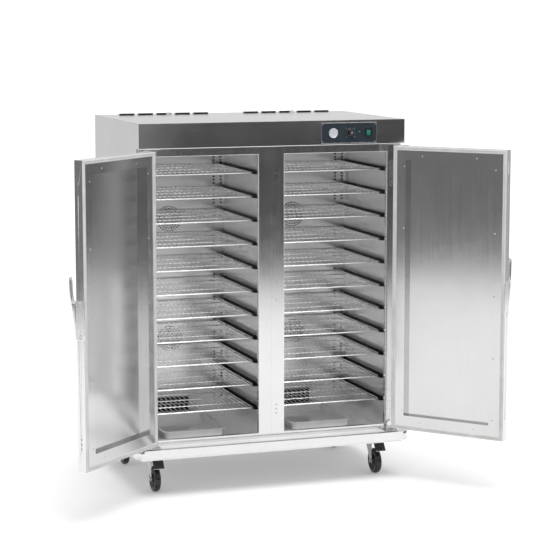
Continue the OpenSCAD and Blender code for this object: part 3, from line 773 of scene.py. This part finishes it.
def add_duct_shade():
    """Near-black sheet behind the perforated air ducts: painted shade for the unlit space seen
    through their holes.
    """
    duct_low, duct_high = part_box("air_ducts")
    for side in SIDES:
        low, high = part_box("liner_" + side)
        y = high.y - 4 * MM
        bm = bmesh.new()
        box(bm, (low.x + 12 * MM, y, duct_low.z + 4 * MM),
            (high.x - 12 * MM, y + 1.5 * MM, duct_high.z - 4 * MM))
        piece("duct_shade_" + side, bm, "void", "cabinet")


def add_panel_trim():
    """Thin bright frame round the control panel, and the black surround of the switch."""
    low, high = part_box("control_panel")
    face = low.y + PANEL_STEP
    bm = bmesh.new()
    rings = []
    for inset, out in ((-3.0, -0.2), (-2.4, 1.0), (0.2, 1.2), (0.9, 0.0)):
        i = inset * MM
        rings.append([bm.verts.new((x, face - out * MM, z)) for x, z in (
            (low.x + i, low.z + i), (high.x - i, low.z + i),
            (high.x - i, high.z - i), (low.x + i, high.z - i))])
    for a, b in zip(rings, rings[1:]):
        ring_join(bm, a, b)
    piece("panel_trim", bm, "zinc", "cabinet")
    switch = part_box("power_rocker")
    centre = (switch[0] + switch[1]) / 2
    bm = bmesh.new()
    layers = []
    for w, h, out in ((36, 44, 1.6), (35, 43, 3.4), (26.4, 34.4, 3.6), (25, 33, 1.0)):
        layers.append([bm.verts.new((centre.x + x, face - out * MM, centre.z + z))
                       for x, z in round_rect(w * MM, h * MM, 3 * MM)])
    for a, b in zip(layers, layers[1:]):
        ring_join(bm, a, b)
    piece("switch_surround", bm, "black", "cabinet", smooth=True)


def add_beads():
    """Rolled hems along the control housing and round both door openings."""
    low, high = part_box("fascia")
    r = 2.6 * MM
    bm = bmesh.new()
    for z, radius in ((low.z + 0.4 * MM, r), (high.z - 0.6 * MM, r * 0.8)):
        rod(bm, (low.x, low.y + r, z), (high.x, low.y + r, z), radius, 12)
    piece("housing_hems", bm, "bright", "cabinet", smooth=True)
    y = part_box("front_frame")[0].y + 0.6 * MM
    bm = bmesh.new()
    for side in SIDES:
        middle = bay_middle(side)
        x0, x1 = middle - OPENING_HALF, middle + OPENING_HALF
        path = [(x1, y, OPENING_LOW), (x1, y, OPENING_HIGH),
                (x0, y, OPENING_HIGH), (x0, y, OPENING_LOW)]
        for a, b in zip(path, path[1:]):
            rod(bm, a, b, 1.1 * MM, 8)
    piece("opening_hems", bm, "bright", "cabinet", smooth=True)


def bay_middle(side):
    """Middle of a compartment across the cabinet."""
    low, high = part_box("shelf_%s_6" % side)
    return (low.x + high.x) / 2


def add_fans():
    """Axial fan behind each ring of holes."""
    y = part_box("air_ducts")[1].y + 14 * MM
    for side in SIDES:
        for level, z in FAN_HEIGHTS.items():
            bm = fan(Vector((bay_middle(side), y, z)))
            piece("fan_%s_%s" % (side, level), bm, "black", "cabinet", smooth=True)


def fan(centre):
    """Motor, guard ring and five twisted blades that face the front."""
    bm = bmesh.new()
    lathe(bm, [(20 * MM, 0), (22 * MM, 2 * MM), (22 * MM, 38 * MM), (0, 40 * MM)],
          centre, (0, 1, 0), 32)
    lathe(bm, [(70 * MM, 0), (72 * MM, 0), (72 * MM, 32 * MM), (70 * MM, 32 * MM), (70 * MM, 0)],
          centre, (0, 1, 0), 48)
    blades = 5
    for k in range(blades):
        verts = [[bm.verts.new(blade_point(centre, 2 * math.pi * k / blades, r, t))
                  for t in (0, 0.33, 0.67, 1)] for r in (21, 33, 45, 57, 68)]
        for a, b in zip(verts, verts[1:]):
            for j in range(3):
                bm.faces.new((a[j], a[j + 1], b[j + 1], b[j]))
    return bm


def blade_point(centre, start, r, t):
    """Point on a blade: r mm from the middle, and t of the way across its chord."""
    a = start + t * (0.5 + 0.004 * r)
    return centre + Vector((r * MM * math.cos(a), (6 + 20 * t) * MM, r * MM * math.sin(a)))


def add_small_fasteners():
    """Screws of the control panel, the back and the lid."""
    bm = bmesh.new()
    low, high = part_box("control_panel")
    for x in (low.x + 6 * MM, high.x - 6 * MM):
        for z in (low.z + 6 * MM, high.z - 6 * MM):
            screw(bm, (x, low.y + PANEL_STEP, z), (0, -1, 0), 1.9 * MM)
    low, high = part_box("outer_shell")
    columns, half_way = 7, 900 * MM
    for k in range(columns):
        x = low.x + (k + 0.5) * (high.x - low.x) / columns
        for z in (low.z + 80 * MM, half_way, high.z - 40 * MM):
            screw(bm, (x, high.y, z), (0, 1, 0), 3.6 * MM)
    low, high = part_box("top_panel")
    for x in (low.x + 40 * MM, (low.x + high.x) / 2, high.x - 40 * MM):
        for y in (low.y + 30 * MM, high.y - 30 * MM):
            screw(bm, (x, y, LID_Z), (0, 0, 1), 3.6 * MM)
    piece("body_screws", bm, "screw", "cabinet")


def add_back_panel():
    """Raised border of the service panel on the back."""
    low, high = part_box("outer_shell")
    y = high.y - 12 * MM             # the cable gland stands 12 mm proud of the sheet
    w, h = (high.x - low.x) * 0.86, (high.z - low.z) * 0.84
    middle_x, middle_z = (low.x + high.x) / 2, (low.z + high.z) / 2 + 30 * MM
    bm = bmesh.new()
    rings = []
    for inset, out in ((0, 0), (0, 1.6), (4, 2.4), (26, 2.4), (30, 0.8), (31, 0.2)):
        outline = round_rect(w - 2 * inset * MM, h - 2 * inset * MM, 8 * MM)
        rings.append([bm.verts.new((middle_x - x, y + out * MM, middle_z + z))
                      for x, z in outline])
    for a, b in zip(rings, rings[1:]):
        ring_join(bm, a, b)
    bmesh.ops.recalc_face_normals(bm, faces=bm.faces)
    piece("back_border", bm, "sheet_up", "cabinet", smooth=True)


# ---------------------------------------------------------------- studio

def make_stage():
    """White floor, even light from overhead, and a studio wall that only reflections see."""
    make_floor()
    make_wall()
    make_sun()
    make_world()
    bpy.context.scene.view_settings.view_transform = "Standard"


def make_floor():
    bm = bmesh.new()
    bmesh.ops.create_grid(bm, x_segments=1, y_segments=1, size=90.0)
    stage_object("floor", bm, floor_material())


def make_wall():
    """Low ring of dark and light flags, which lets the overhead light in above it."""
    sides, radius = 96, 7.0
    angles = [2 * math.pi * k / sides for k in range(sides)]
    bm = bmesh.new()
    rings = [[bm.verts.new((radius * math.cos(a), radius * math.sin(a), z)) for a in angles]
             for z in (0.004, 0.9, 1.8)]
    for a, b in zip(rings, rings[1:]):
        ring_join(bm, a, b)
    wall = stage_object("studio_wall", bm, wall_material())
    wall.visible_camera = False
    wall.visible_diffuse = False
    wall.visible_shadow = False
    wall.visible_transmission = False


def make_sun():
    """Broad overhead light, tilted so that the shadow falls a little to the back."""
    data = bpy.data.lights.new("overhead", "SUN")
    data.energy = 2.6
    data.angle = math.radians(40)
    sun = bpy.data.objects.new("overhead", data)
    sun.rotation_euler = (math.radians(14), 0.0, 0.0)
    bpy.context.scene.collection.objects.link(sun)


def make_world():
    """White surroundings, a little brighter to the camera than to the cabinet."""
    world = bpy.data.worlds.new("studio")
    world.use_nodes = True
    nodes, links = world.node_tree.nodes, world.node_tree.links
    seen, lit = nodes["Background"], nodes.new("ShaderNodeBackground")
    for background, strength in ((seen, 1.05), (lit, 0.85)):
        background.inputs["Color"].default_value = (1, 1, 1, 1)
        background.inputs["Strength"].default_value = strength
    path, mix = nodes.new("ShaderNodeLightPath"), nodes.new("ShaderNodeMixShader")
    links.new(path.outputs["Is Camera Ray"], mix.inputs["Fac"])
    links.new(lit.outputs["Background"], mix.inputs[1])
    links.new(seen.outputs["Background"], mix.inputs[2])
    links.new(mix.outputs["Shader"], nodes["World Output"].inputs["Surface"])
    bpy.context.scene.world = world


def stage_object(name, bm, material):
    mesh = bpy.data.meshes.new(name)
    bm.to_mesh(mesh)
    bm.free()
    mesh.materials.append(material)
    obj = bpy.data.objects.new(name, mesh)
    bpy.context.scene.collection.objects.link(obj)
    return obj


def floor_material():
    s = Shader("floor", Roughness=0.8, Emission_Color=(1, 1, 1, 1), Emission_Strength=0.19)
    s.main.inputs["Base Color"].default_value = (0.62, 0.62, 0.62, 1)
    return s.material


def wall_material():
    """Dark in front of the cabinet and light behind it, by the direction from the middle."""
    s = Shader("studio_wall")
    tree = s.material.node_tree
    place = s.nodes.new("ShaderNodeSeparateXYZ")
    s.link(s.nodes.new("ShaderNodeTexCoord").outputs["Object"], place.inputs["Vector"])
    turn = s.nodes.new("ShaderNodeMath")
    turn.operation = "ARCTAN2"
    s.link(place.outputs["X"], turn.inputs[0])
    back = s.nodes.new("ShaderNodeMath")
    back.operation = "MULTIPLY"
    back.inputs[1].default_value = -1.0
    s.link(place.outputs["Y"], back.inputs[0])
    s.link(back.outputs["Value"], turn.inputs[1])
    share = s.nodes.new("ShaderNodeMapRange")
    share.inputs["From Min"].default_value = -math.pi
    share.inputs["From Max"].default_value = math.pi
    s.link(turn.outputs["Value"], share.inputs["Value"])

    def at(degrees):
        return (degrees + 180) / 360

    light = s.ramp(share.outputs["Result"], (at(-180), 0.7), (at(-125), 0.68), (at(-78), 0.18),
                   (at(-30), 0.18), (at(10.5), 0.2), (at(10.9), 0.055), (at(60), 0.055),
                   (at(115), 0.68), (at(180), 0.7))
    glow = s.nodes.new("ShaderNodeEmission")
    s.link(light, glow.inputs["Color"])
    s.link(glow.outputs["Emission"], tree.nodes["Material Output"].inputs["Surface"])
    return s.material


# ---------------------------------------------------------------- assembly

def dress_cad_nodes():
    """Materials for the CAD nodes that stay, and rounded edges where they show."""
    looks = {
        "outer_shell": "sheet_up", "top_panel": "lid", "insulation": "foam",
        "front_frame": "sheet_up", "chassis": "satin", "bumper": "sheet_across",
        "liner_left": "cavity", "liner_right": "cavity", "air_ducts": "cavity",
        "shelf_runners": "runner", "water_pan_left": "bright", "water_pan_right": "bright",
        "fascia": "sheet_across", "control_panel": "panel", "gauge_and_lamp": "dial",
        "power_rocker": "rocker", "pivot_brackets": "cast", "thermostat_knob": "black",
    }
    edges = {
        "outer_shell": 1.5, "top_panel": 0.8, "chassis": 1.2, "bumper": 2.0, "fascia": 1.2,
        "control_panel": 0.5, "pivot_brackets": 0.8, "power_rocker": 0.8,
        "door_left": 2.0, "door_right": 2.0,
    }
    for side in SIDES:
        looks["door_" + side] = "sheet_up"
        looks["door_liner_" + side] = "lining"
        looks["gasket_" + side] = "seal"
        looks["latch_" + side] = looks["lever_" + side] = "cast"
        looks["pedal_" + side] = "black"
    for name, obj in frame["nodes"].items():
        if name.startswith("fork_"):
            looks[name] = "zinc"
            edges[name] = 0.5
        elif name.startswith("wheel_"):
            looks[name] = "tread"
        elif name.startswith("shelf_") and name != "shelf_runners":
            looks[name] = "wire"
        obj.material_slots[0].material = M[looks[name]]
        if name in edges:
            soften(obj, edges[name] * MM)


make_camera()
M = make_materials()
dress_cad_nodes()
for side in SIDES:
    for number in range(1, 12):
        add_shelf(side, number)
    add_gasket(side)
    add_door_screws(side)
    add_latch(side)
    add_lever(side)
    add_pedal(side)
for corner in ("front_left", "front_right", "back_left", "back_right"):
    add_wheel(corner)
add_knob()
add_scale()
add_thermometer()
add_lamp()
add_duct_shade()
add_panel_trim()
add_beads()
add_fans()
add_small_fasteners()
add_back_panel()
make_stage()
